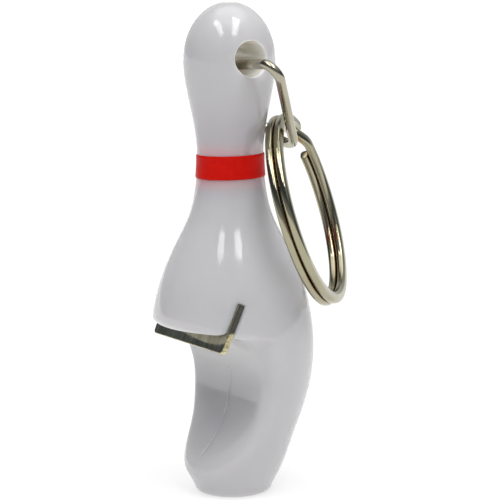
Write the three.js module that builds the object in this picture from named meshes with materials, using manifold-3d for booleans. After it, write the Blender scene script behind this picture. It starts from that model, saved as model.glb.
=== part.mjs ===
// Bowling-pin key ring with a bottle opener, in millimetres, +Z up.
// The pin stands on Z = 0 with its axis on Z. The cap notch opens towards -Y, the link and split ring
// hang on the +Y side, and the head hole, the blade slot and the notch all run straight through along X.
import * as THREE from "three";
import { mergeVertices } from "three/addons/utils/BufferGeometryUtils.js";
import Module from "manifold-3d";

const wasm = await Module();
wasm.setup();

const DEG = Math.PI / 180;

// Pin outline: a half ellipse for the dome of the head, then a spline down to the rounded base edge.
const PIN_HEIGHT = 76;
const HEAD_RADIUS = 7.06;
const HEAD_WIDEST_Z = 67.1;
const BASE_FLAT_RADIUS = 5.25;
const BASE_EDGE_RADIUS = 0.75;
const PIN_SIDE = [
  [6.15, 1.2],
  [7.2, 3.2],
  [9.1, 8.1],
  [11.1, 13.7],
  [12.3, 18.5],
  [12.65, 23.2],
  [12.25, 28.0],
  [10.95, 33.4],
  [8.6, 38.9],
  [6.52, 43.2],
  [5.45, 47.6],
  [5.08, 52.8],
  [5.55, 57.5],
  [6.57, 62.7],
];
const PIN_SEGMENTS = 64;
const SIDE_STEPS = 34;
const DOME_STEPS = 9;
const EDGE_STEPS = 3;

// Head hole for the wire link.
const HOLE_Z = 67.65;
const HOLE_RADIUS = 2.68;
const HOLE_SEGMENTS = 40;

// Cap notch, drawn in the Y-Z plane and cut straight through along X.
const JAW_Z = 26.6;
const ROOF_Z = 26;
const NOTCH_BACK = [
  [-5.15, ROOF_Z],
  [-3.1, 24.6],
  [-1.6, 22.5],
  [-0.7, 20.1],
  [-0.45, 17.4],
  [-0.9, 14.6],
  [-2.1, 11.1],
  [-3.95, 8.3],
  [-6.05, 6.15],
  [-8.75, 4.2],
];
const NOTCH_FLOOR_SLOPE = 0.7;
const NOTCH_REACH = 16;
const NOTCH_STEPS = 26;

// Opener blade: a flat stamped plate pressed up into a slot, leaning back from the upright.
const BLADE_THICKNESS = 0.9;
const BLADE_LENGTH = 7.89;
const BLADE_FOOT_HALF_WIDTH = 10.55;
const BLADE_TOP_HALF_WIDTH = 10.85;
const BLADE_CORNER = 0.4;
const BLADE_LEAN = 24 * DEG;
const BLADE_FOOT_Y = -7.7;
const BLADE_FOOT_Z = 23.99;
const FIT_GAP = 0.3;

// Red band around the neck, lying in a shallow groove and a little out of square.
const BAND_Z = 51.1;
const BAND_WIDTH = 3.65;
const BAND_OUTER_RADIUS = 5.28;
const BAND_THICKNESS = 0.55;
const BAND_TILT = 1.2 * DEG;
const BAND_HIGH_SIDE = 59 * DEG;

// Wire link: a triangle of round wire whose two ends meet inside the head hole.
const LINK_WIRE_RADIUS = 0.75;
const LINK_HALF_WIDTH = 13.92;
const LINK_HEIGHT = 17.39;
const LINK_CORNER_RADIUS = 1.9;
const LINK_TIP_RADIUS = 3.03;
const LINK_END_GAP = 0.3;
const LINK_CENTRE = new THREE.Vector3(1.37, -0.3, 66.45);
const LINK_SWING = 36.9 * DEG;
const LINK_ROLL = 4.1 * DEG;
const LINK_YAW = -2.5 * DEG;
const LINK_STEPS = 118;
const LINK_SIDES = 10;
const ROUND = 2;

// Split ring: flattened wire coiled almost twice round, with one sideways step between its two layers.
// Its angles are in degrees and count from the ring's upper side.
const RING_RADIUS = 14.33;
const RING_WIRE_RADIAL = 1.9;
const RING_WIRE_AXIAL = 1.3;
const RING_SQUARENESS = 3.2;
const RING_LAYER_PITCH = 1.36;
const RING_START = -58;
const RING_TURN = 691;
const RING_STEP_FROM = 332;
const RING_STEP_TO = 353;
const RING_CENTRE = new THREE.Vector3(3.71, 11.51, 43.76);
const RING_AXIS = new THREE.Vector3(0.662, 0.693, 0.285).normalize();
const RING_STEPS = 140;
const RING_SIDES = 12;

const PAST_EVERYTHING = 40;
const MERGE_WITHIN = 1e-4;

const plastic = new THREE.MeshStandardMaterial({ color: 0xdcdae0, roughness: 0.2, metalness: 0 });
const red = new THREE.MeshStandardMaterial({ color: 0xc01410, roughness: 0.3, metalness: 0 });
const bladeMetal = new THREE.MeshStandardMaterial({ color: 0xc9c4b4, roughness: 0.15, metalness: 1 });
const linkMetal = new THREE.MeshStandardMaterial({ color: 0xcdc9bb, roughness: 0.18, metalness: 1 });
const ringMetal = new THREE.MeshStandardMaterial({ color: 0xd0ccbd, roughness: 0.15, metalness: 1 });

// A closed geometry as a solid that can be cut: shared vertices merged, position only.
function solid(geometry) {
  const plain = new THREE.BufferGeometry();
  plain.setAttribute("position", geometry.getAttribute("position").clone());
  if (geometry.index) plain.setIndex(geometry.index.clone());
  const merged = mergeVertices(plain, MERGE_WITHIN);
  return new wasm.Manifold(
    new wasm.Mesh({
      numProp: 3,
      vertProperties: new Float32Array(merged.attributes.position.array),
      triVerts: new Uint32Array(merged.index.array),
    }),
  );
}

// A solid back as a geometry for a mesh.
function geometryOf(manifold) {
  const mesh = manifold.getMesh();
  const geometry = new THREE.BufferGeometry();
  geometry.setAttribute("position", new THREE.BufferAttribute(mesh.vertProperties, 3));
  geometry.setIndex(new THREE.BufferAttribute(mesh.triVerts, 1));
  geometry.computeVertexNormals();
  return geometry;
}

// A lathe profile of [radius, height] points, turned about Z.
function turned(profile, segments) {
  const points = profile.map(([radius, height]) => new THREE.Vector2(radius, height));
  return new THREE.LatheGeometry(points, segments).rotateX(Math.PI / 2);
}

// A shape drawn in [Y, Z], extruded along X and centred on X = 0.
function extrudedAlongX(shape, length) {
  const geometry = new THREE.ExtrudeGeometry(shape, { depth: length, bevelEnabled: false });
  const yToX = new THREE.Matrix4().makeBasis(
    new THREE.Vector3(0, 1, 0),
    new THREE.Vector3(0, 0, 1),
    new THREE.Vector3(1, 0, 0),
  );
  return geometry.applyMatrix4(yToX).translate(-length / 2, 0, 0);
}

function pinProfile() {
  const profile = [[0, 0]];
  for (let i = 0; i <= EDGE_STEPS; i++) {
    const angle = ((i / EDGE_STEPS) * Math.PI) / 2;
    profile.push([
      BASE_FLAT_RADIUS + BASE_EDGE_RADIUS * Math.sin(angle),
      BASE_EDGE_RADIUS * (1 - Math.cos(angle)),
    ]);
  }
  const side = [...PIN_SIDE, [HEAD_RADIUS, HEAD_WIDEST_Z]].map(([r, z]) => new THREE.Vector2(r, z));
  const sideCurve = new THREE.SplineCurve(side);
  for (let i = 0; i <= SIDE_STEPS; i++) {
    const point = sideCurve.getPoint(i / SIDE_STEPS);
    profile.push([point.x, point.y]);
  }
  for (let i = 1; i < DOME_STEPS; i++) {
    const angle = ((i / DOME_STEPS) * Math.PI) / 2;
    const rise = (PIN_HEIGHT - HEAD_WIDEST_Z) * Math.sin(angle);
    profile.push([HEAD_RADIUS * Math.cos(angle), HEAD_WIDEST_Z + rise]);
  }
  profile.push([0, PIN_HEIGHT]);
  return profile;
}

function notchCutter() {
  const back = new THREE.SplineCurve(NOTCH_BACK.map(([y, z]) => new THREE.Vector2(y, z)));
  const [lipY, lipZ] = NOTCH_BACK[NOTCH_BACK.length - 1];
  const bladeY = BLADE_FOOT_Y + (JAW_Z - BLADE_FOOT_Z) * Math.tan(BLADE_LEAN);
  const shape = new THREE.Shape();
  shape.moveTo(-NOTCH_REACH, JAW_Z);
  shape.lineTo(-NOTCH_REACH, lipZ - (NOTCH_REACH + lipY) * NOTCH_FLOOR_SLOPE);
  for (const point of back.getPoints(NOTCH_STEPS).reverse()) shape.lineTo(point.x, point.y);
  shape.lineTo(bladeY, ROOF_Z);
  shape.lineTo(bladeY, JAW_Z);
  return solid(extrudedAlongX(shape, PAST_EVERYTHING));
}

function headHoleCutter() {
  const cylinder = new THREE.CylinderGeometry(HOLE_RADIUS, HOLE_RADIUS, PAST_EVERYTHING, HOLE_SEGMENTS);
  return solid(cylinder.rotateZ(Math.PI / 2).translate(0, 0, HOLE_Z));
}

// Places a geometry drawn upright on the blade's foot into the blade's leaning position.
function placedOnBlade(geometry) {
  return geometry.rotateX(-BLADE_LEAN).translate(0, BLADE_FOOT_Y, BLADE_FOOT_Z);
}

function bladeGeometry() {
  const outline = new THREE.Shape();
  outline.moveTo(-BLADE_FOOT_HALF_WIDTH, BLADE_CORNER);
  outline.lineTo(-BLADE_FOOT_HALF_WIDTH + BLADE_CORNER, 0);
  outline.lineTo(BLADE_FOOT_HALF_WIDTH - BLADE_CORNER, 0);
  outline.lineTo(BLADE_FOOT_HALF_WIDTH, BLADE_CORNER);
  outline.lineTo(BLADE_TOP_HALF_WIDTH, BLADE_LENGTH);
  outline.lineTo(-BLADE_TOP_HALF_WIDTH, BLADE_LENGTH);
  const plate = new THREE.ExtrudeGeometry(outline, { depth: BLADE_THICKNESS, bevelEnabled: false });
  return placedOnBlade(plate.rotateX(Math.PI / 2).translate(0, BLADE_THICKNESS / 2, 0));
}

function bladeSlotCutter() {
  const thickness = BLADE_THICKNESS + 2 * FIT_GAP;
  const height = BLADE_LENGTH + FIT_GAP;
  const slot = new THREE.BoxGeometry(PAST_EVERYTHING, thickness, height).translate(0, 0, height / 2);
  return solid(placedOnBlade(slot));
}

// A flat-sided ring around the neck at the band's height, tilted as the band is.
function bandRing(inner, outer, width) {
  const half = width / 2;
  const section = [
    [inner, -half],
    [outer, -half],
    [outer, half],
    [inner, half],
    [inner, -half],
  ];
  const axis = new THREE.Vector3(-Math.sin(BAND_HIGH_SIDE), Math.cos(BAND_HIGH_SIDE), 0).negate();
  const tilt = new THREE.Matrix4().makeRotationAxis(axis, BAND_TILT);
  return turned(section, PIN_SEGMENTS).applyMatrix4(tilt).translate(0, 0, BAND_Z);
}

function bandGeometry() {
  return bandRing(BAND_OUTER_RADIUS - BAND_THICKNESS, BAND_OUTER_RADIUS, BAND_WIDTH);
}

function pinGeometry() {
  const grooveRadius = BAND_OUTER_RADIUS - BAND_THICKNESS - FIT_GAP;
  const groove = bandRing(grooveRadius, PAST_EVERYTHING, BAND_WIDTH + 2 * FIT_GAP);
  const body = solid(turned(pinProfile(), PIN_SEGMENTS))
    .subtract(notchCutter())
    .subtract(bladeSlotCutter())
    .subtract(headHoleCutter())
    .subtract(solid(groove));
  return geometryOf(body);
}

// The arc that rounds the corner at p1 between p0 and p2.
class CornerArc extends THREE.Curve {
  constructor(p0, p1, p2, radius) {
    super();
    const toStart = p0.clone().sub(p1).normalize();
    const toEnd = p2.clone().sub(p1).normalize();
    const opening = toStart.angleTo(toEnd);
    const reach = radius / Math.tan(opening / 2);
    const middle = toStart.clone().add(toEnd).normalize();
    this.centre = p1.clone().addScaledVector(middle, radius / Math.sin(opening / 2));
    this.start = p1.clone().addScaledVector(toStart, reach);
    this.end = p1.clone().addScaledVector(toEnd, reach);
    this.sweep = Math.PI - opening;
  }
  getPoint(t, target = new THREE.Vector3()) {
    const from = Math.sin((1 - t) * this.sweep) / Math.sin(this.sweep);
    const to = Math.sin(t * this.sweep) / Math.sin(this.sweep);
    return target
      .copy(this.centre)
      .addScaledVector(this.start.clone().sub(this.centre), from)
      .addScaledVector(this.end.clone().sub(this.centre), to);
  }
}

// The link's centre line in its own plane: local X along the wire in the hole, local -Z to the tip.
function linkPath() {
  const right = new THREE.Vector3(LINK_HALF_WIDTH, 0, 0);
  const tip = new THREE.Vector3(0, 0, -LINK_HEIGHT);
  const left = new THREE.Vector3(-LINK_HALF_WIDTH, 0, 0);
  const startEnd = new THREE.Vector3(LINK_END_GAP / 2, 0, 0);
  const finishEnd = new THREE.Vector3(-LINK_END_GAP / 2, 0, 0);
  const arcs = [
    new CornerArc(startEnd, right, tip, LINK_CORNER_RADIUS),
    new CornerArc(right, tip, left, LINK_TIP_RADIUS),
    new CornerArc(tip, left, finishEnd, LINK_CORNER_RADIUS),
  ];
  const path = new THREE.CurvePath();
  let from = startEnd;
  for (const arc of arcs) {
    path.add(new THREE.LineCurve3(from, arc.start));
    path.add(arc);
    from = arc.end;
  }
  path.add(new THREE.LineCurve3(from, finishEnd));
  return path;
}

// A closed wire section: an ellipse at squareness 2, and nearer to a rectangle above that.
function roundSection(halfX, halfY, sides, squareness) {
  const points = [];
  for (let i = 0; i < sides; i++) {
    const angle = ((i + 0.5) / sides) * 2 * Math.PI;
    const bulge = (value) => Math.sign(value) * Math.abs(value) ** (2 / squareness);
    points.push(new THREE.Vector2(halfX * bulge(Math.cos(angle)), halfY * bulge(Math.sin(angle))));
  }
  return new THREE.Shape(points);
}

function linkGeometry() {
  const section = roundSection(LINK_WIRE_RADIUS, LINK_WIRE_RADIUS, LINK_SIDES, ROUND);
  return new THREE.ExtrudeGeometry(section, {
    steps: LINK_STEPS,
    extrudePath: linkPath(),
    bevelEnabled: false,
  });
}

// The ring's centre line in its own frame: axis on local Z, angles counted from local X.
class SplitRingCurve extends THREE.Curve {
  getPoint(t, target = new THREE.Vector3()) {
    const turnedBy = t * RING_TURN;
    const angle = (RING_START - turnedBy) * DEG;
    const layer = THREE.MathUtils.smoothstep(turnedBy, RING_STEP_FROM, RING_STEP_TO) - 0.5;
    return target.set(
      RING_RADIUS * Math.cos(angle),
      RING_RADIUS * Math.sin(angle),
      RING_LAYER_PITCH * layer,
    );
  }
}

function ringGeometry() {
  const section = roundSection(RING_WIRE_AXIAL / 2, RING_WIRE_RADIAL / 2, RING_SIDES, RING_SQUARENESS);
  return new THREE.ExtrudeGeometry(section, {
    steps: RING_STEPS,
    extrudePath: new SplitRingCurve(),
    bevelEnabled: false,
  });
}

function part(name, geometry, material) {
  const mesh = new THREE.Mesh(geometry, material);
  mesh.name = name;
  return mesh;
}

const link = part("wire_link", linkGeometry(), linkMetal);
const alongBase = new THREE.Vector3(
  Math.cos(LINK_ROLL) * Math.cos(LINK_YAW),
  Math.sin(LINK_YAW),
  Math.sin(LINK_ROLL),
).normalize();
const towardsTip = new THREE.Vector3(0, Math.sin(LINK_SWING), -Math.cos(LINK_SWING));
towardsTip.addScaledVector(alongBase, -towardsTip.dot(alongBase)).normalize();
const linkUp = towardsTip.clone().negate();
link.position.copy(LINK_CENTRE);
link.quaternion.setFromRotationMatrix(
  new THREE.Matrix4().makeBasis(alongBase, linkUp.clone().cross(alongBase), linkUp),
);

const ring = part("split_ring", ringGeometry(), ringMetal);
const levelInPlane = RING_AXIS.clone().cross(new THREE.Vector3(0, 0, 1)).normalize();
const upInPlane = levelInPlane.clone().cross(RING_AXIS);
ring.position.copy(RING_CENTRE);
ring.quaternion.setFromRotationMatrix(
  new THREE.Matrix4().makeBasis(upInPlane, levelInPlane, RING_AXIS),
);

const keyring = new THREE.Group();
keyring.add(part("pin_body", pinGeometry(), plastic));
keyring.add(part("opener_blade", bladeGeometry(), bladeMetal));
keyring.add(part("neck_band", bandGeometry(), red));
keyring.add(link, ring);

export default keyring;
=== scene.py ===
import math

import bmesh
import bpy
import numpy as np
from mathutils import Matrix, Vector


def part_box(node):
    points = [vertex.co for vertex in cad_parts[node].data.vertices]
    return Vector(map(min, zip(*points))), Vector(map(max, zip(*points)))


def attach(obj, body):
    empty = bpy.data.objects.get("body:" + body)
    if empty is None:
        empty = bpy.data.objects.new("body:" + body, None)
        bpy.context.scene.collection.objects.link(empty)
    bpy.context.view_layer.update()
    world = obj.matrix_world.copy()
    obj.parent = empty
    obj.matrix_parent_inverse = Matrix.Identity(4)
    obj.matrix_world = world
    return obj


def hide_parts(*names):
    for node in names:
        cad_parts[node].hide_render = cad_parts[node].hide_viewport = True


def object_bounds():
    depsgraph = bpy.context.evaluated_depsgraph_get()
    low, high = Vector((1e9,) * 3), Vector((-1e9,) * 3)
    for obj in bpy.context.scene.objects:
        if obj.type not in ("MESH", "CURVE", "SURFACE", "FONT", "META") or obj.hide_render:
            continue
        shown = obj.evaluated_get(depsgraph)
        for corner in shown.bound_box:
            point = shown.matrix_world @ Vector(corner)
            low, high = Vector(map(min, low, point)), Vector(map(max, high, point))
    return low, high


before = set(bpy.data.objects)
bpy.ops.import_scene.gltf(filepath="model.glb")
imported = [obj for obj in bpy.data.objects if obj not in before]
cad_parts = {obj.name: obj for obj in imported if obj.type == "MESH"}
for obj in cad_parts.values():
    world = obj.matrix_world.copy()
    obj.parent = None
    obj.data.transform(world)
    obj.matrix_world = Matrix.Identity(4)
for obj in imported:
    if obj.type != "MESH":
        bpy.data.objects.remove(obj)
cad_low, cad_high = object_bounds()

MM = 0.001


# ---------------------------------------------------------------- camera

CAMERA_AZIMUTH = math.radians(59.0)
CAMERA_PITCH = math.radians(8.6)
CAMERA_ROLL = math.radians(-0.48)
CAMERA_DISTANCE = 355 * MM
CAMERA_LENS = 165.8
SENSOR_WIDTH = 36.0
AIM_ASIDE = 2.9 * MM
AIM_HEIGHT = 37.85 * MM

level_right = Vector((math.cos(CAMERA_AZIMUTH), math.sin(CAMERA_AZIMUTH), 0))
level_back = Vector((math.sin(CAMERA_AZIMUTH), -math.cos(CAMERA_AZIMUTH), 0))
camera_back = level_back * math.cos(CAMERA_PITCH) + Vector((0, 0, math.sin(CAMERA_PITCH)))
camera_up = camera_back.cross(level_right)
rolled_right = level_right * math.cos(CAMERA_ROLL) + camera_up * math.sin(CAMERA_ROLL)
rolled_up = camera_up * math.cos(CAMERA_ROLL) - level_right * math.sin(CAMERA_ROLL)


def make_camera():
    data = bpy.data.cameras.new("camera")
    data.lens = CAMERA_LENS
    data.sensor_width = SENSOR_WIDTH
    camera = bpy.data.objects.new("camera", data)
    aim = level_right * AIM_ASIDE + Vector((0, 0, AIM_HEIGHT))
    turn = Matrix((rolled_right, rolled_up, camera_back)).transposed().to_4x4()
    camera.matrix_world = Matrix.Translation(aim + camera_back * CAMERA_DISTANCE) @ turn
    bpy.context.scene.collection.objects.link(camera)
    bpy.context.scene.camera = camera


make_camera()


# ---------------------------------------------------------------- node helpers

RANGE_SOCKETS = ("From Min", "From Max", "To Min", "To Max")


class Nodes:
    """Short ways to add nodes to one node tree. They work on a place, such as the Object coordinates."""

    def __init__(self, tree, place):
        self.tree = tree
        self.place = self.add("TexCoord").outputs[place]

    def add(self, kind):
        return self.tree.nodes.new("ShaderNode" + kind)

    def join(self, output, socket):
        self.tree.links.new(output, socket)

    def coordinates(self):
        """The place's X, Y and Z."""
        node = self.add("SeparateXYZ")
        self.join(self.place, node.inputs["Vector"])
        return node.outputs["X"], node.outputs["Y"], node.outputs["Z"]

    def height(self):
        return self.coordinates()[2]

    def from_origin(self):
        """How far the place is from the origin."""
        node = self.add("VectorMath")
        node.operation = "LENGTH"
        self.join(self.place, node.inputs[0])
        return node.outputs["Value"]

    def along(self, direction):
        """How far the place lies in a direction from the origin."""
        node = self.add("VectorMath")
        node.operation = "DOT_PRODUCT"
        node.inputs[1].default_value = direction
        self.join(self.place, node.inputs[0])
        return node.outputs["Value"]

    def spread(self, value, low, high, to_low=0.0, to_high=1.0):
        """Maps low to high onto to_low to to_high, with a smooth start and end."""
        node = self.add("MapRange")
        node.interpolation_type = "SMOOTHSTEP"
        for socket, number in zip(RANGE_SOCKETS, (low, high, to_low, to_high)):
            node.inputs[socket].default_value = number
        self.join(value, node.inputs["Value"])
        return node.outputs["Result"]

    def maths(self, operation, a, b=None):
        node = self.add("Math")
        node.operation = operation
        for socket, value in zip(node.inputs, (a, b)):
            if isinstance(value, (int, float)):
                socket.default_value = value
            elif value is not None:
                self.join(value, socket)
        return node.outputs["Value"]

    def mix(self, factor, a, b):
        """A blend of two colours, each a tuple or an output."""
        node = self.add("Mix")
        node.data_type = "RGBA"
        self.join(factor, node.inputs["Factor"])
        for name, colour in (("A", a), ("B", b)):
            if isinstance(colour, tuple):
                node.inputs[name].default_value = (*colour, 1)
            else:
                self.join(colour, node.inputs[name])
        return node.outputs["Result"]


class Shader(Nodes):
    """A material with one Principled shader, and short ways to give it procedural detail."""

    def __init__(self, name, **sockets):
        self.material = bpy.data.materials.new(name)
        self.material.use_nodes = True
        super().__init__(self.material.node_tree, "Object")
        self.surface = self.tree.nodes["Principled BSDF"]
        for socket, value in sockets.items():
            self.surface.inputs[socket.replace("_", " ")].default_value = value

    def stretched(self, scale):
        node = self.add("Mapping")
        node.inputs["Scale"].default_value = scale
        self.join(self.place, node.inputs["Vector"])
        return node.outputs["Vector"]

    def noise(self, scale, detail, place=None):
        node = self.add("TexNoise")
        node.inputs["Scale"].default_value = scale
        node.inputs["Detail"].default_value = detail
        self.join(place or self.place, node.inputs["Vector"])
        return node.outputs["Fac"]

    def ramp(self, value, stops):
        """The colours between two stops, each a position and a colour."""
        node = self.add("ValToRGB")
        for element, (position, colour) in zip(node.color_ramp.elements, stops):
            element.position = position
            element.color = (*colour, 1)
        self.join(value, node.inputs["Fac"])
        return node.outputs["Color"]

    def distance_from_line(self, centre, radius):
        """How far outside a cylinder of this radius along X, whose axis passes through centre (Y, Z)."""
        _, y, z = self.coordinates()
        dy = self.maths("SUBTRACT", y, centre[0])
        dz = self.maths("SUBTRACT", z, centre[1])
        square = self.maths("ADD", self.maths("MULTIPLY", dy, dy), self.maths("MULTIPLY", dz, dz))
        return self.maths("SUBTRACT", self.maths("SQRT", square), radius)

    def attribute(self, name):
        node = self.add("Attribute")
        node.attribute_name = name
        return node.outputs["Fac"]

    def bump(self, height, distance, strength):
        node = self.add("Bump")
        node.inputs["Distance"].default_value = distance
        node.inputs["Strength"].default_value = strength
        self.join(height, node.inputs["Height"])
        return node.outputs["Normal"]

    def wire(self, **sockets):
        for socket, output in sockets.items():
            self.join(output, self.surface.inputs[socket.replace("_", " ")])
        return self.material


# ---------------------------------------------------------------- sizes shared with the CAD model

PIN_HEIGHT = 76.0
HEAD_RADIUS = 7.06
HEAD_WIDEST_Z = 67.1
DOME_HEIGHT = PIN_HEIGHT - HEAD_WIDEST_Z
BASE_EDGE_RADIUS = 0.75
PIN_SIDE = (
    (5.65, 0.0), (6.15, 1.2), (7.2, 3.2), (9.1, 8.1), (11.1, 13.7), (12.3, 18.5), (12.65, 23.2),
    (12.25, 28.0), (10.95, 33.4), (8.6, 38.9), (6.52, 43.2), (5.45, 47.6), (5.08, 52.8), (5.55, 57.5),
    (6.57, 62.7),
    (HEAD_RADIUS, HEAD_WIDEST_Z),
)
PIN_FOOT_SLOPE = 0.36
GATE_DEPTH = 0.02
GATE_EDGE = 0.2

HOLE_Z = 67.65
HOLE_RADIUS = 2.68
HOLE_EDGE = 0.35

JAW_Z = 26.6
NOTCH_BACK = (
    (-8.75, 4.2), (-6.05, 6.15), (-3.95, 8.3), (-2.1, 11.1), (-0.9, 14.6), (-0.45, 17.4), (-0.7, 20.1),
    (-1.6, 22.5), (-3.1, 24.6), (-5.15, 26.0),
)
NOTCH_FLOOR_SLOPE = 0.7
NOTCH_PAST_ROOF = (-9.0, 28.0)
NOTCH_TOP_SLOPE = -2.2
NOTCH_EDGE = 2.2
NOTCH_EDGE_CHANGE = 0.9
NOTCH_HALF_WIDTH = 12.0
NOTCH_ROOF_RADIUS = 1.0

BLADE_THICKNESS = 0.9
BLADE_LENGTH = 7.89
BLADE_FOOT_HALF_WIDTH = 10.55
BLADE_TOP_HALF_WIDTH = 10.85
BLADE_CORNER = 0.4
BLADE_LEAN = math.radians(24.0)
BLADE_FOOT = (0.0, -7.7, 23.99)
SLOT_PLAY = 0.04
SLOT_EDGE_JAW = 1.2
SLOT_EDGE_BACK = 0.3
SLOT_BLEND = 4.4
SLOT_BLEND_PAST = 0.8
SLOT_RIDGE_WIDTH = 3.2
SLOT_RIDGE_FROM = 0.1
SLOT_RIDGE_TO = 1.1

BAND_Z = 51.1
BAND_WIDTH = 3.65
BAND_OUTER_RADIUS = 5.28
BAND_TILT = math.radians(1.2)
BAND_HIGH_SIDE = math.radians(59)

LINK_WIRE_RADIUS = 0.75
LINK_HALF_WIDTH = 13.92
LINK_HEIGHT = 17.39
LINK_CORNER_RADIUS = 1.9
LINK_TIP_RADIUS = 3.03
LINK_END_GAP = 0.3
LINK_CENTRE = Vector((1.37, -0.3, 66.45))
LINK_SWING = math.radians(36.9)
LINK_ROLL = math.radians(4.1)
LINK_YAW = math.radians(-2.5)

RING_RADIUS = 14.33
RING_WIRE_RADIAL = 1.9
RING_WIRE_AXIAL = 1.3
RING_SQUARENESS = 3.0
RING_LAYER_PITCH = 1.36
RING_START = -58.0
RING_TURN = 691.0
RING_STEP_FROM = 332.0
RING_STEP_TO = 353.0
RING_CENTRE = Vector((3.71, 11.51, 43.76))
RING_AXIS = Vector((0.662, 0.693, 0.285)).normalized()


# ---------------------------------------------------------------- mesh helpers

def mesh_object(name, points_mm, faces, normals=None):
    """A mesh object from points in millimetres and faces, smooth shaded."""
    mesh = bpy.data.meshes.new(name)
    mesh.from_pydata((np.asarray(points_mm) * MM).tolist(), [], faces)
    mesh.polygons.foreach_set("use_smooth", [True] * len(mesh.polygons))
    mesh.update()
    if normals is not None:
        mesh.normals_split_custom_set_from_vertices(normals.tolist())
    piece = bpy.data.objects.new(name, mesh)
    bpy.context.scene.collection.objects.link(piece)
    return piece


def flipped_out(piece):
    """Turns the faces of a closed mesh outwards."""
    work = bmesh.new()
    work.from_mesh(piece.data)
    bmesh.ops.recalc_face_normals(work, faces=work.faces)
    work.to_mesh(piece.data)
    work.free()
    return piece


def place_piece(piece, body, node, slot, *materials):
    for material in materials:
        piece.data.materials.append(material)
    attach(piece, body)
    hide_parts(node)


class Spline:
    """A smooth cubic curve through points (x rising), with the slopes given at its two ends."""

    def __init__(self, x, y, first_slope, last_slope):
        self.x, self.y = np.array(x, float), np.array(y, float)
        step, rise = np.diff(self.x), np.diff(self.y)
        count = len(x)
        system, target = np.eye(count), np.zeros(count)
        target[0], target[-1] = first_slope, last_slope
        for i in range(1, count - 1):
            system[i, i - 1], system[i, i + 1] = 1 / step[i - 1], 1 / step[i]
            system[i, i] = 2 / step[i - 1] + 2 / step[i]
            target[i] = 3 * (rise[i - 1] / step[i - 1] ** 2 + rise[i] / step[i] ** 2)
        self.slope = np.linalg.solve(system, target)

    def __call__(self, at):
        """The value and the slope at each place; straight on past the two ends."""
        at = np.asarray(at, float)
        i = np.clip(np.searchsorted(self.x, at) - 1, 0, len(self.x) - 2)
        step = self.x[i + 1] - self.x[i]
        t = np.clip((at - self.x[i]) / step, 0, 1)
        y0, y1, m0, m1 = self.y[i], self.y[i + 1], self.slope[i] * step, self.slope[i + 1] * step
        value = y0 + t * (m0 + t * (3 * (y1 - y0) - 2 * m0 - m1 + t * (2 * (y0 - y1) + m0 + m1)))
        slope = (m0 + t * (2 * (3 * (y1 - y0) - 2 * m0 - m1) + 3 * t * (2 * (y0 - y1) + m0 + m1))) / step
        return value + slope * (at - np.clip(at, self.x[0], self.x[-1])), slope


TINY = 1e-6
LEAST_SLOPE_SQUARED = 0.2
GRADIENT_STEP = 0.02


def smoothstep(value, low, high):
    t = np.clip((value - low) / (high - low), 0, 1)
    return t * t * (3 - 2 * t)


def rounded_max(a, b, radius):
    """Where two shapes given as signed distances overlap, with the outer edge between them rounded."""
    corner = np.hypot(np.maximum(radius + a, 0), np.maximum(radius + b, 0))
    return np.minimum(-radius, np.maximum(a, b)) + corner


def gradient(field, points):
    """The field's slope along each axis at each point, by central differences."""
    slopes = np.empty_like(points)
    for axis in range(3):
        shift = np.zeros(3)
        shift[axis] = GRADIENT_STEP
        difference = field(*(points + shift).T) - field(*(points - shift).T)
        slopes[:, axis] = difference / (2 * GRADIENT_STEP)
    return slopes


def onto_surface(field, points, rounds=3):
    """The points moved along the field's slope to where the field is zero."""
    for _ in range(rounds):
        slopes = gradient(field, points)
        steepness = np.maximum((slopes**2).sum(1), LEAST_SLOPE_SQUARED)
        points = points - slopes * (field(*points.T) / steepness)[:, None]
    return points


SLAB_COUNT = 12
RELAX_ROUNDS = 6


def surface_net(field, low, high, cell):
    """A quad mesh of the surface where field is zero: one point in each grid cell that the surface crosses,
    evened out along the surface."""
    axes = [np.arange(lo, hi + cell, cell) for lo, hi in zip(low, high)]
    slabs = np.array_split(axes[0], SLAB_COUNT)
    inside = np.concatenate([field(*np.meshgrid(slab, *axes[1:], indexing="ij")) < 0 for slab in slabs])
    shape = tuple(n - 1 for n in inside.shape)
    filled = np.zeros(shape, np.int8)
    for i in (0, 1):
        for j in (0, 1):
            for k in (0, 1):
                filled += inside[i : shape[0] + i, j : shape[1] + j, k : shape[2] + k]
    crossed = (filled > 0) & (filled < 8)
    number = np.full(shape, -1)
    number[crossed] = np.arange(crossed.sum())
    points = np.stack([axes[a][np.nonzero(crossed)[a]] + cell / 2 for a in range(3)], 1)
    quads = []
    for axis in range(3):
        u, v = (axis + 1) % 3, (axis + 2) % 3
        here = np.moveaxis(inside, (axis, u, v), (0, 1, 2))[:, 1:-1, 1:-1]
        cells = np.moveaxis(number, (axis, u, v), (0, 1, 2))
        enters, leaves = ~here[:-1] & here[1:], here[:-1] & ~here[1:]
        around = [cells[:, :-1, :-1], cells[:, 1:, :-1], cells[:, 1:, 1:], cells[:, :-1, 1:]]
        quads.append(np.stack([ring[leaves] for ring in around], 1))
        quads.append(np.stack([ring[enters] for ring in around[::-1]], 1))
    quads = np.concatenate(quads)
    edges = np.unique(np.sort(np.concatenate([quads[:, [i, (i + 1) % 4]] for i in range(4)]), 1), axis=0)
    links = np.bincount(edges.ravel(), minlength=len(points))
    points = onto_surface(field, points)
    for _ in range(RELAX_ROUNDS):
        mean = np.empty_like(points)
        for axis in range(3):
            total = np.bincount(edges[:, 0], points[edges[:, 1], axis], len(points))
            total += np.bincount(edges[:, 1], points[edges[:, 0], axis], len(points))
            mean[:, axis] = total / links
        points = onto_surface(field, (points + mean) / 2, 1)
    points = onto_surface(field, points, 2)
    slopes = gradient(field, points)
    return points, quads, slopes / np.linalg.norm(slopes, axis=1)[:, None]


# ---------------------------------------------------------------- pin body

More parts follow.
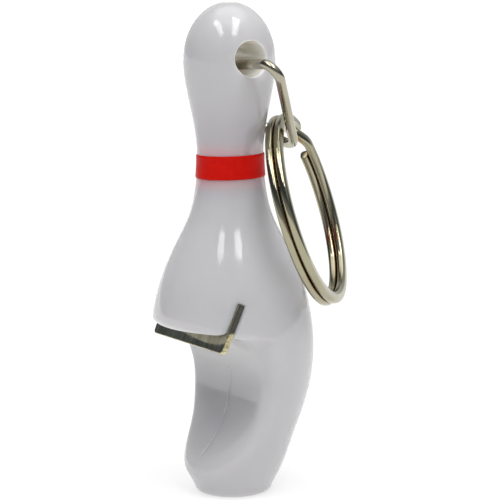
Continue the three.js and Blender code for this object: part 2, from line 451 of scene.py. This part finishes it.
side_r, side_z = zip(*PIN_SIDE)
pin_side = Spline(side_z, side_r, PIN_FOOT_SLOPE, 0.0)
back_y, back_z = zip(*NOTCH_BACK, NOTCH_PAST_ROOF)
notch_back = Spline(back_z, back_y, 1 / NOTCH_FLOOR_SLOPE, NOTCH_TOP_SLOPE)


def outer_form(x, y, z):
    """The whole pin before any cut: turned side, half ellipse head, flat base with a rounded edge."""
    reach = np.hypot(x, y)
    radius, slope = pin_side(z)
    side = (reach - radius) / np.sqrt(1 + slope**2)
    rise = z - HEAD_WIDEST_Z
    level = np.hypot(reach / HEAD_RADIUS, rise / DOME_HEIGHT)
    steepness = np.hypot(reach / HEAD_RADIUS**2, rise / DOME_HEIGHT**2)
    dome = (level - 1) * level / np.maximum(steepness, TINY)
    form = np.where(rise > 0, dome, side)
    form = rounded_max(form, z - (PIN_HEIGHT - GATE_DEPTH), GATE_EDGE)
    return rounded_max(form, -z, BASE_EDGE_RADIUS)


def notch_form(y, z):
    back, slope = notch_back(z)
    return rounded_max((y - back) / np.sqrt(1 + slope**2), z - JAW_Z, NOTCH_ROOF_RADIUS)


def blade_plane(y, z):
    """Distance behind the blade's middle plane, and height along it from its foot."""
    dy, dz = y - BLADE_FOOT[1], z - BLADE_FOOT[2]
    behind = dy * math.cos(BLADE_LEAN) - dz * math.sin(BLADE_LEAN)
    along = dy * math.sin(BLADE_LEAN) + dz * math.cos(BLADE_LEAN)
    return behind, along


def ridge_softened(cuts, notch, slot):
    """Rounds the ridge left between the notch and the slot, more so further from both."""
    width = SLOT_RIDGE_WIDTH * smoothstep(-cuts, SLOT_RIDGE_FROM, SLOT_RIDGE_TO) + TINY
    return cuts + np.maximum(width - np.abs(notch - slot), 0) ** 2 / (4 * width)


def pin_form(x, y, z):
    """The finished moulding: the turned pin less its notch, slot and hole, with their edges rounded."""
    notch = notch_form(y, z)
    behind, along = blade_plane(y, z)
    half_slot = BLADE_THICKNESS / 2 + SLOT_PLAY
    slot = np.maximum(np.abs(behind) - half_slot, along - BLADE_LENGTH - SLOT_PLAY)
    across = np.clip((behind + half_slot) / (2 * half_slot), 0, 1)
    lip = SLOT_EDGE_JAW + (SLOT_EDGE_BACK - SLOT_EDGE_JAW) * across
    cuts = ridge_softened(rounded_max(-notch, -slot, lip), notch, slot)
    notch_edge = NOTCH_EDGE + NOTCH_EDGE_CHANGE * np.clip(x / NOTCH_HALF_WIDTH, -1, 1)
    by_slot = smoothstep(notch - slot, -SLOT_BLEND, SLOT_BLEND_PAST)
    edge = notch_edge + (SLOT_EDGE_BACK - notch_edge) * by_slot
    form = rounded_max(outer_form(x, y, z), cuts, edge)
    hole = np.hypot(y, z - HOLE_Z) - HOLE_RADIUS
    return rounded_max(form, -hole, HOLE_EDGE)


PIN_CELL = 0.26


def pin_body():
    low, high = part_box("pin_body")
    cell = PIN_CELL
    margin = 3 * cell
    points, quads, normals = surface_net(
        pin_form, [v / MM - margin for v in low], [v / MM + margin for v in high], cell
    )
    return mesh_object("pin_body_moulding", points, quads.tolist(), normals)


PLASTIC_LIGHT = (0.558, 0.549, 0.556)
PLASTIC_SHADE = (0.531, 0.524, 0.534)
# Painted shade on the neck.
NECK_SHADE = (0.475, 0.45, 0.47)
# A painted red glow in the plastic next to the band.
PAINTED_RED_GLOW = (0.74, 0.30, 0.33)
# The white of the painted light inside the hole and of the painted highlight on the top.
PAINTED_LIGHT_WHITE = (0.93, 0.91, 0.85)

# Heights above and below the band's middle at which the painted neck shade and the painted red glow start,
# and are full.
NECK_SHADE_ABOVE, NECK_SHADE_BELOW = (12.5, 2.0), (6.0, 1.8)
RED_GLOW_ABOVE, RED_GLOW_BELOW = (4.4, 1.7), (4.0, 1.7)
RED_GLOW_AMOUNT = (0.2, 0.6)

# Depths below the top at which the painted highlight starts and is full, and how far past the hole's wall
# the painted light reaches.
TOP_HIGHLIGHT_FROM, TOP_HIGHLIGHT_TO = 0.16, 0.08
HOLE_LIGHT_BEYOND = 0.3
PLASTIC_ROUGHNESS = (0.07, 0.13)
PLASTIC_SKIN = 0.012


def around_band(shader, height, above, below):
    return shader.maths(
        "MULTIPLY",
        shader.spread(height, (BAND_Z + above[0]) * MM, (BAND_Z + above[1]) * MM),
        shader.spread(height, (BAND_Z - below[0]) * MM, (BAND_Z - below[1]) * MM),
    )


def white_plastic():
    """Glossy milky plastic: faint clouds, painted shade on the neck, a painted red glow next to the band,
    painted light inside the hole and a painted highlight on the top.
    """
    shader = Shader(
        "white_plastic",
        Subsurface_Weight=0.9,
        Subsurface_Radius=(1.0, 0.9, 0.86),
        Subsurface_Scale=4.0 * MM,
        IOR=1.52,
    )
    cloudy = shader.noise(70, 2)
    white = shader.ramp(cloudy, [(0.3, PLASTIC_LIGHT), (0.7, PLASTIC_SHADE)])
    height = shader.height()
    # Painted shade: the neck darkens around the band.
    neck = around_band(shader, height, NECK_SHADE_ABOVE, NECK_SHADE_BELOW)
    colour = shader.mix(neck, white, NECK_SHADE)
    # Painted red glow: pink in the plastic next to the band, in patches.
    near_band = around_band(shader, height, RED_GLOW_ABOVE, RED_GLOW_BELOW)
    patchy = shader.spread(shader.noise(110, 2), 0.3, 0.7, *RED_GLOW_AMOUNT)
    red_glow = shader.maths("MULTIPLY", near_band, patchy)
    colour = shader.mix(red_glow, colour, PAINTED_RED_GLOW)
    # Painted light: the wall of the head hole is made much lighter.
    outside_hole = shader.distance_from_line((0, HOLE_Z * MM), HOLE_RADIUS * MM)
    colour = shader.mix(shader.spread(outside_hole, HOLE_LIGHT_BEYOND * MM, 0.0), colour, PAINTED_LIGHT_WHITE)
    # Painted highlight: a white spot on the flat top of the head.
    top_highlight = shader.spread(height, (PIN_HEIGHT - TOP_HIGHLIGHT_FROM) * MM, (PIN_HEIGHT - TOP_HIGHLIGHT_TO) * MM)
    colour = shader.mix(top_highlight, colour, PAINTED_LIGHT_WHITE)
    roughness = shader.spread(shader.noise(260, 4), 0.35, 0.7, *PLASTIC_ROUGHNESS)
    skin = shader.bump(shader.noise(420, 2), PLASTIC_SKIN * MM, 0.5)
    return shader.wire(Base_Color=colour, Roughness=roughness, Normal=skin)


place_piece(pin_body(), "pin", "pin_body", "white_plastic", white_plastic())


# ---------------------------------------------------------------- parting line of the mould

RIDGE_HALF_WIDTH = 0.16
RIDGE_HEIGHT = 0.025
RIDGE_DEPTH = 0.05
RIDGE_STEP = 0.3
RIDGE_FADE_STEPS = 8
RIDGE_SECTION = ((-1, -1), (-1, 0), (-0.5, 0.8), (0, 1), (0.5, 0.8), (1, 0), (1, -1))
RIDGE_LIGHT = (0.63, 0.62, 0.63)
RIDGE_SHADE = (0.59, 0.58, 0.59)
RIDGE_START = (0, -0.6, 19.7)
RIDGE_LENGTH = 16.0
DOWNWARDS = (0, 0, -1)


def ridge_plastic():
    shader = Shader("ridge_plastic", IOR=1.55)
    colour = shader.ramp(shader.noise(500, 2), [(0.35, RIDGE_SHADE), (0.65, RIDGE_LIGHT)])
    roughness = shader.spread(shader.noise(260, 4), 0.35, 0.7, 0.2, 0.3)
    return shader.wire(Base_Color=colour, Roughness=roughness)


def ridge_path(field, start, heading, length):
    """Points along the body's middle section (X = 0), walked from start, with their normals."""
    points, normals = [], []
    here = np.array([start], float)
    heading = np.array(heading, float)
    for _ in range(int(length / RIDGE_STEP)):
        here = onto_surface(field, here, 2)
        here[:, 0] = 0
        normal = gradient(field, here)[0]
        normal[0] = 0
        normal /= np.linalg.norm(normal)
        tangent = np.array([0, -normal[2], normal[1]])
        heading = tangent * math.copysign(1, tangent @ heading)
        points.append(here[0].copy())
        normals.append(normal)
        here = here + heading * RIDGE_STEP
    return np.array(points), np.array(normals)


def ridge(name, start, heading, length):
    """A low ridge with a rounded top along the body's middle section, fading into it at both ends."""
    points, normals = ridge_path(pin_form, start, heading, length)
    count = len(points)
    from_end = np.minimum(np.arange(count), np.arange(count)[::-1])
    fade = np.clip(from_end / RIDGE_FADE_STEPS, 0, 1)
    verts = []
    for point, normal, share in zip(points, normals, fade):
        for aside, up in RIDGE_SECTION:
            lift = up * RIDGE_HEIGHT * share if up > 0 else up * RIDGE_DEPTH
            verts.append(point + normal * lift + np.array([aside * RIDGE_HALF_WIDTH, 0, 0]))
    sides = len(RIDGE_SECTION)
    faces = [
        (i * sides + j, i * sides + (j + 1) % sides, (i + 1) * sides + (j + 1) % sides, (i + 1) * sides + j)
        for i in range(count - 1)
        for j in range(sides)
    ]
    faces += [tuple(range(sides))[::-1], tuple(range((count - 1) * sides, count * sides))]
    piece = flipped_out(mesh_object(name, verts, faces))
    piece.data.materials.append(ridge_plastic())
    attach(piece, "pin")


ridge("parting_line_notch", RIDGE_START, DOWNWARDS, RIDGE_LENGTH)


# ---------------------------------------------------------------- opener blade

BLADE_ROLL_RADIUS = 0.09
BLADE_ROLL_STEPS = 3
BLADE_LIGHT = (0.42, 0.405, 0.30)
BLADE_SHADE = (0.24, 0.228, 0.155)
BLADE_EDGE_LIGHT = (0.70, 0.66, 0.41)
BLADE_EDGE_SHADE = (0.30, 0.255, 0.13)
BLADE_EDGE_IN_SLOT = (0.075, 0.072, 0.062)
IN_SLOT_FROM, IN_SLOT_TO = 0.1, 0.6


def blade_outline():
    foot, top, corner = BLADE_FOOT_HALF_WIDTH, BLADE_TOP_HALF_WIDTH, BLADE_CORNER
    return (
        (-foot, corner), (-foot + corner, 0), (foot - corner, 0), (foot, corner),
        (top, BLADE_LENGTH), (-top, BLADE_LENGTH),
    )


def blade():
    """The plate, lying in its slot, with its sheared edges slightly rounded."""
    outline = blade_outline()
    count = len(outline)
    half = BLADE_THICKNESS / 2
    verts = [(x, -half, z) for x, z in outline] + [(x, half, z) for x, z in outline]
    faces = [tuple(range(count)), tuple(range(2 * count - 1, count - 1, -1))]
    faces += [(i, i + count, (i + 1) % count + count, (i + 1) % count) for i in range(count)]
    piece = mesh_object("opener_blade_plate", verts, faces)
    lean = Matrix.Rotation(-BLADE_LEAN, 4, "X")
    piece.data.transform(Matrix.Translation(Vector(BLADE_FOOT) * MM) @ lean)
    for index, face in enumerate(piece.data.polygons):
        face.material_index = 0 if index < 2 else 1
    bevel = piece.modifiers.new("rolled edge", "BEVEL")
    bevel.width = BLADE_ROLL_RADIUS * MM
    bevel.segments = BLADE_ROLL_STEPS
    bevel.harden_normals = True
    bevel.material = 1
    return piece


def blade_face():
    """Dull nickel with streaks that run up the plate."""
    shader = Shader("blade_face", Metallic=1.0)
    streaks = shader.noise(1, 3, shader.stretched((900, 60, 90)))
    colour = shader.ramp(streaks, [(0.35, BLADE_SHADE), (0.65, BLADE_LIGHT)])
    roughness = shader.spread(shader.noise(300, 4), 0.35, 0.7, 0.08, 0.2)
    brushed = shader.bump(streaks, 0.01 * MM, 0.3)
    return shader.wire(Base_Color=colour, Roughness=roughness, Normal=brushed)


def blade_edge():
    """Torn sheared metal, bright and yellowish, and dark where the slot shades it."""
    shader = Shader("blade_edge", Metallic=1.0)
    torn = shader.noise(1, 4, shader.stretched((1500, 900, 2600)))
    colour = shader.ramp(torn, [(0.38, BLADE_EDGE_SHADE), (0.62, BLADE_EDGE_LIGHT)])
    in_slot = shader.spread(shader.height(), (JAW_Z + IN_SLOT_FROM) * MM, (JAW_Z + IN_SLOT_TO) * MM)
    colour = shader.mix(in_slot, colour, BLADE_EDGE_IN_SLOT)
    roughness = shader.spread(torn, 0.3, 0.7, 0.24, 0.45)
    grain = shader.bump(torn, 0.06 * MM, 0.8)
    return shader.wire(Base_Color=colour, Roughness=roughness, Normal=grain)


place_piece(blade(), "pin", "opener_blade", "blade_steel", blade_face(), blade_edge())


# ---------------------------------------------------------------- neck band

BAND_STEPS = 128
BAND_SECTION_STEPS = 18
BAND_LIP = 0.28
BAND_EDGE_SINK = 0.04
BAND_INNER_SINK = 0.1
BAND_LIGHT = (0.60, 0.009, 0.005)
BAND_SHADE = (0.54, 0.006, 0.003)


def band():
    """A thin sleeve around the neck: its outer face bulges a little and turns in at both edges."""
    side, _ = pin_side(BAND_Z)
    half = BAND_WIDTH / 2
    heights = half * np.sin(np.linspace(-math.pi / 2, math.pi / 2, BAND_SECTION_STEPS))
    verts, faces = [], []
    for i in range(BAND_STEPS):
        angle = 2 * math.pi * i / BAND_STEPS
        rise = BAND_Z + math.tan(BAND_TILT) * BAND_OUTER_RADIUS * math.cos(angle - BAND_HIGH_SIDE)
        neck, _ = pin_side(rise + heights)
        from_edge = half - np.abs(heights)
        swell = np.sqrt(np.clip(1 - (1 - np.clip(from_edge / BAND_LIP, 0, 1)) ** 2, 0, 1))
        outer = neck - BAND_EDGE_SINK + (BAND_OUTER_RADIUS - float(side) + BAND_EDGE_SINK) * swell
        inner = neck[::-1] - BAND_INNER_SINK
        for radius, height in zip(np.concatenate([outer, inner]), np.concatenate([heights, heights[::-1]])):
            verts.append((radius * math.cos(angle), radius * math.sin(angle), rise + height))
    ring = 2 * BAND_SECTION_STEPS
    for i in range(BAND_STEPS):
        for j in range(ring):
            a, b = i * ring, (i + 1) % BAND_STEPS * ring
            k = (j + 1) % ring
            faces.append((a + j, b + j, b + k, a + k))
    return mesh_object("neck_band_sleeve", verts, faces)


def red_band():
    """Matt red paint, slightly worn."""
    shader = Shader("red_band", Specular_IOR_Level=0.05)
    worn = shader.noise(900, 4)
    colour = shader.ramp(worn, [(0.3, BAND_SHADE), (0.7, BAND_LIGHT)])
    roughness = shader.spread(shader.noise(600, 3), 0.3, 0.7, 0.3, 0.42)
    skin = shader.bump(shader.noise(900, 3), 0.012 * MM, 0.5)
    return shader.wire(Base_Color=colour, Roughness=roughness, Normal=skin)


place_piece(band(), "pin", "neck_band", "red_band", red_band())


# ---------------------------------------------------------------- swept wire

def section_points(half_side, half_up, sides, squareness):
    """A closed wire section: an ellipse at squareness 2, nearer to a rectangle above that."""
    angles = 2 * math.pi * (np.arange(sides) + 0.5) / sides
    across, upwards = np.cos(angles), np.sin(angles)
    power = 2 / squareness
    return (
        half_side * np.sign(across) * np.abs(across) ** power,
        half_up * np.sign(upwards) * np.abs(upwards) ** power,
    )


def swept(points, sides_dir, ups_dir, section, chamfer):
    """Rings of the section along points, with chamfered flat cut ends: (verts, faces)."""
    aside, up = section
    sides = len(aside)
    tangents = np.gradient(points, axis=0)
    tangents /= np.linalg.norm(tangents, axis=1)[:, None]
    rings = []
    for end, direction in ((0, -1), (len(points) - 1, 1)):
        cut = []
        for share in (1.0, 0.6, 0.0):
            back = points[end] + direction * tangents[end] * chamfer * math.cos(share * math.pi / 2)
            scale = 1 - chamfer / max(aside.max(), up.max()) * (1 - math.sin(share * math.pi / 2))
            ring = back + np.outer(aside * scale, sides_dir[end]) + np.outer(up * scale, ups_dir[end])
            cut.append(ring)
        rings.append(cut)
    body = [
        point + np.outer(aside, side) + np.outer(up, rise)
        for point, side, rise in zip(points, sides_dir, ups_dir)
    ]
    every = rings[0][::-1] + body[1:-1] + rings[1]
    verts = np.concatenate(every)
    faces = []
    for i in range(len(every) - 1):
        for j in range(sides):
            k = (j + 1) % sides
            faces.append((i * sides + j, i * sides + k, (i + 1) * sides + k, (i + 1) * sides + j))
    last = (len(every) - 1) * sides
    faces += [tuple(range(sides))[::-1], tuple(range(last, last + sides))]
    return verts, faces


# ---------------------------------------------------------------- wire link

LINK_SIDES = 28
LINK_SPACING = 0.22
LINK_END_CHAMFER = 0.12
# Across the pin, where the painted shade on the wire inside the hole is full and where it ends.
HOLE_SHADE_FULL, HOLE_SHADE_END = 6.6, 8.2


def corner_arc(before, corner, after, radius):
    """Where a rounded corner starts and ends, and the points of its arc."""
    to_start, to_end = (before - corner).normalized(), (after - corner).normalized()
    opening = to_start.angle(to_end)
    reach = radius / math.tan(opening / 2)
    centre = corner + (to_start + to_end).normalized() * (radius / math.sin(opening / 2))
    start, end = corner + to_start * reach - centre, corner + to_end * reach - centre
    sweep = math.pi - opening
    steps = max(6, int(radius * sweep / LINK_SPACING))
    arc = []
    for i in range(steps + 1):
        t = i / steps
        blend = start * math.sin((1 - t) * sweep) + end * math.sin(t * sweep)
        arc.append(centre + blend / math.sin(sweep))
    return arc


def link_axes():
    along = Vector((
        math.cos(LINK_ROLL) * math.cos(LINK_YAW),
        math.sin(LINK_YAW),
        math.sin(LINK_ROLL),
    )).normalized()
    to_tip = Vector((0, math.sin(LINK_SWING), -math.cos(LINK_SWING)))
    to_tip = (to_tip - along * to_tip.dot(along)).normalized()
    return along, to_tip


def link():
    """The wire triangle, bent from one wire whose ends meet inside the head hole."""
    right, tip, left = Vector((LINK_HALF_WIDTH, 0)), Vector((0, LINK_HEIGHT)), Vector((-LINK_HALF_WIDTH, 0))
    first, last = Vector((LINK_END_GAP / 2, 0)), Vector((-LINK_END_GAP / 2, 0))
    path = [first]
    for before, corner, after, radius in (
        (first, right, tip, LINK_CORNER_RADIUS),
        (right, tip, left, LINK_TIP_RADIUS),
        (tip, left, last, LINK_CORNER_RADIUS),
    ):
        path += corner_arc(before, corner, after, radius)
    path.append(last)
    even = []
    for a, b in zip(path, path[1:]):
        steps = max(1, round((b - a).length / LINK_SPACING))
        even += [a.lerp(b, i / steps) for i in range(steps)]
    even.append(last)
    along, to_tip = link_axes()
    points = np.array([LINK_CENTRE + along * p.x + to_tip * p.y for p in even])
    tangents = np.gradient(points, axis=0)
    tangents /= np.linalg.norm(tangents, axis=1)[:, None]
    up = np.array(along.cross(to_tip))
    ups = np.tile(up, (len(points), 1))
    asides = np.cross(tangents, ups)
    section = section_points(LINK_WIRE_RADIUS, LINK_WIRE_RADIUS, LINK_SIDES, 2)
    verts, faces = swept(points, asides, ups, section, LINK_END_CHAMFER)
    piece = flipped_out(mesh_object("wire_link_bent_wire", verts, faces))
    # Painted shade on the wire where it runs inside the head hole.
    covered = 1 - smoothstep(np.abs(verts[:, 0]), HOLE_SHADE_FULL, HOLE_SHADE_END)
    in_hole = (verts[:, 2] > HOLE_Z - HOLE_RADIUS) * covered
    hole_shade = piece.data.attributes.new("hole_shade", "FLOAT", "POINT")
    hole_shade.data.foreach_set("value", in_hole)
    return piece


def nickel(name, tint, dull, roughness):
    """Bright nickel plate: cloudy tint, fine handling scratches, patches of duller metal."""
    shader = Shader(name, Metallic=1.0)
    patches = shader.noise(180, 4)
    colour = shader.ramp(patches, [(0.3, dull), (0.6, tint)])
    scratches = shader.noise(1, 2, shader.stretched((700, 5200, 1400)))
    rough = shader.spread(patches, 0.3, 0.7, roughness[1], roughness[0])
    fine = shader.bump(scratches, 0.008 * MM, 0.35)
    return shader, colour, rough, fine


LINK_TINT = (0.42, 0.395, 0.305)
LINK_DULL = (0.34, 0.315, 0.235)
# The colour of the painted shade on the wire inside the hole.
LINK_HOLE_SHADE = (0.20, 0.165, 0.115)
LINK_ROUGHNESS = (0.12, 0.24)
# How much of the painted shade the wire gets at most inside the hole.
LINK_MOST_HOLE_SHADE = 0.85


def link_material():
    shader, colour, rough, fine = nickel("link_nickel", LINK_TINT, LINK_DULL, LINK_ROUGHNESS)
    # Painted shade darkens the wire inside the head hole.
    shaded = shader.spread(shader.attribute("hole_shade"), 0.0, 1.0, 0.0, LINK_MOST_HOLE_SHADE)
    colour = shader.mix(shaded, colour, LINK_HOLE_SHADE)
    return shader.wire(Base_Color=colour, Roughness=rough, Normal=fine)


place_piece(link(), "link", "wire_link", "link_wire", link_material())


# ---------------------------------------------------------------- split ring

RING_SIDES = 36
RING_RINGS = 720
RING_END_CHAMFER = 0.14
CREVICE_HALF_WIDTH = 0.42


def ring():
    """The flattened wire, coiled almost twice round, with a short step from one layer to the other."""
    level = RING_AXIS.cross(Vector((0, 0, 1))).normalized()
    upper = level.cross(RING_AXIS)
    turned = np.linspace(0, RING_TURN, RING_RINGS)
    angle = np.radians(RING_START - turned)
    layer = smoothstep(turned, RING_STEP_FROM, RING_STEP_TO) - 0.5
    outward = np.outer(np.cos(angle), upper) + np.outer(np.sin(angle), level)
    axis = np.tile(np.array(RING_AXIS), (RING_RINGS, 1))
    points = np.array(RING_CENTRE) + RING_RADIUS * outward + RING_LAYER_PITCH * layer[:, None] * axis
    section = section_points(RING_WIRE_RADIAL / 2, RING_WIRE_AXIAL / 2, RING_SIDES, RING_SQUARENESS)
    verts, faces = swept(points, outward, axis, section, RING_END_CHAMFER)
    piece = flipped_out(mesh_object("split_ring_coil", verts, faces))
    height = (np.asarray(verts) - np.array(RING_CENTRE)) @ np.array(RING_AXIS)
    crevice = piece.data.attributes.new("crevice", "FLOAT", "POINT")
    crevice.data.foreach_set("value", 1 - smoothstep(np.abs(height), 0.0, CREVICE_HALF_WIDTH))
    return piece


RING_TINT = (0.385, 0.362, 0.255)
RING_DULL = (0.32, 0.30, 0.20)
RING_TARNISH = (0.30, 0.17, 0.06)
RING_ROUGHNESS = (0.08, 0.18)
RING_TARNISH_AMOUNT = (0.25, 0.95)


def ring_material():
    shader, colour, rough, fine = nickel("ring_nickel", RING_TINT, RING_DULL, RING_ROUGHNESS)
    deep = shader.attribute("crevice")
    patchy = shader.spread(shader.noise(160, 3), 0.4, 0.62, *RING_TARNISH_AMOUNT)
    stain = shader.maths("MULTIPLY", deep, patchy)
    colour = shader.mix(stain, colour, RING_TARNISH)
    return shader.wire(Base_Color=colour, Roughness=rough, Normal=fine)


place_piece(ring(), "ring", "split_ring", "ring_wire", ring_material())


# ---------------------------------------------------------------- floor, lights and surroundings

FLOOR_RADIUS = 12.0
FLOOR_SIDES = 96
FLOOR_DROP = 0.00005
FLOOR_GREY = (0.38, 0.38, 0.38)

# The floor's own glow rises with the distance from the object, and fades out in front of it.
FLOOR_GLOW_NEAR, FLOOR_GLOW_FAR = 0.64, 0.86
FLOOR_NEAR, FLOOR_FAR = 0.2, 1.6
FLOOR_FADE_FROM, FLOOR_FADE_TO = 0.15, 1.0

# The radiance of each part of the room, and the range of directions over which it comes in. A range is
# of the direction's height, or of how far it points away from the camera or to the camera's right.
CEILING, CEILING_HEIGHT = 1.95, (0.72, 0.95)
SWEEP, SWEEP_BEHIND, SWEEP_HEIGHT = 0.5, (0.35, 0.9), (0.75, 0.45)
HAZE, HAZE_BEHIND, HAZE_HEIGHT = 0.3, (-0.1, -0.7), (0.45, 0.0)
SIDE, SIDE_ASIDE, SIDE_HEIGHT = 0.35, (0.05, 0.6), (0.3, 0.6)
DIM = 0.1
DIM_TINT = (0.62, 0.75, 1.0)
DIM_TINT_UP_TO = 0.5
WHITE = (1.0, 1.0, 1.0)
SEEN_WHITE = 1.2
STRIP_HEIGHT = 1.0


def floor():
    mesh = bpy.data.meshes.new("floor")
    angles = [2 * math.pi * i / FLOOR_SIDES for i in range(FLOOR_SIDES)]
    verts = [(FLOOR_RADIUS * math.cos(angle), FLOOR_RADIUS * math.sin(angle), 0) for angle in angles]
    mesh.from_pydata(verts, [], [tuple(range(FLOOR_SIDES))])
    shader = Shader(
        "floor_paper",
        Roughness=0.9,
        Base_Color=(*FLOOR_GREY, 1),
        Specular_IOR_Level=0.0,
        Emission_Color=(*WHITE, 1),
    )
    glow = shader.maths(
        "MULTIPLY",
        shader.spread(shader.from_origin(), FLOOR_NEAR, FLOOR_FAR, FLOOR_GLOW_NEAR, FLOOR_GLOW_FAR),
        shader.spread(shader.along(level_back), FLOOR_FADE_FROM, FLOOR_FADE_TO, 1.0, 0.0),
    )
    mesh.materials.append(shader.wire(Emission_Strength=glow))
    obj = bpy.data.objects.new("floor", mesh)
    obj.location.z = cad_low.z - FLOOR_DROP
    bpy.context.scene.collection.objects.link(obj)


def strip_light(name, near, far, width, radiance):
    """A ceiling strip from near to far, each (distance towards the camera, distance aside) in metres."""
    up = Vector((0, 0, STRIP_HEIGHT))
    start, end = (level_back * nearer + level_right * aside + up for nearer, aside in (near, far))
    length = (end - start).length
    data = bpy.data.lights.new(name, "AREA")
    data.shape = "RECTANGLE"
    data.size = length
    data.size_y = width
    data.energy = radiance * math.pi * length * width
    lamp = bpy.data.objects.new(name, data)
    x_axis = (end - start).normalized()
    z_axis = Vector((0, 0, 1))
    y_axis = z_axis.cross(x_axis)
    turn = Matrix((x_axis, y_axis, z_axis)).transposed().to_4x4()
    lamp.matrix_world = Matrix.Translation((start + end) / 2) @ turn
    bpy.context.scene.collection.objects.link(lamp)


def surroundings():
    """A dim room with a bright ceiling, a white sweep behind the object, a little haze in front and a
    little light from the right. Where the camera sees it directly, it is plain white."""
    world = bpy.data.worlds.new("studio")
    bpy.context.scene.world = world
    world.use_nodes = True
    room = Nodes(world.node_tree, "Generated")
    height, behind, aside = room.height(), room.along(-level_back), room.along(level_right)
    level = room.maths("ADD", room.spread(height, *CEILING_HEIGHT, 0.0, CEILING), DIM)
    for radiance, direction, across, upwards in (
        (SWEEP, behind, SWEEP_BEHIND, SWEEP_HEIGHT),
        (HAZE, behind, HAZE_BEHIND, HAZE_HEIGHT),
        (SIDE, aside, SIDE_ASIDE, SIDE_HEIGHT),
    ):
        in_reach = room.spread(direction, *across, 0.0, radiance)
        glow = room.maths("MULTIPLY", in_reach, room.spread(height, *upwards))
        level = room.maths("ADD", glow, level)
    tint = room.mix(room.spread(level, 0.0, DIM_TINT_UP_TO), DIM_TINT, WHITE)
    strength = room.add("Mix")
    room.join(room.add("LightPath").outputs["Is Camera Ray"], strength.inputs["Factor"])
    room.join(level, strength.inputs["A"])
    strength.inputs["B"].default_value = SEEN_WHITE
    background = world.node_tree.nodes["Background"]
    room.join(tint, background.inputs["Color"])
    room.join(strength.outputs["Result"], background.inputs["Strength"])


floor()
surroundings()
strip_light("strip_left", near=(1.02, -0.40), far=(0.1, -0.502), width=0.25, radiance=6.2)
strip_light("strip_right", near=(1.02, 0.33), far=(0.1, 0.262), width=0.29, radiance=7.1)
bpy.context.scene.view_settings.view_transform = "Standard"
bpy.context.scene.view_settings.look = "None"
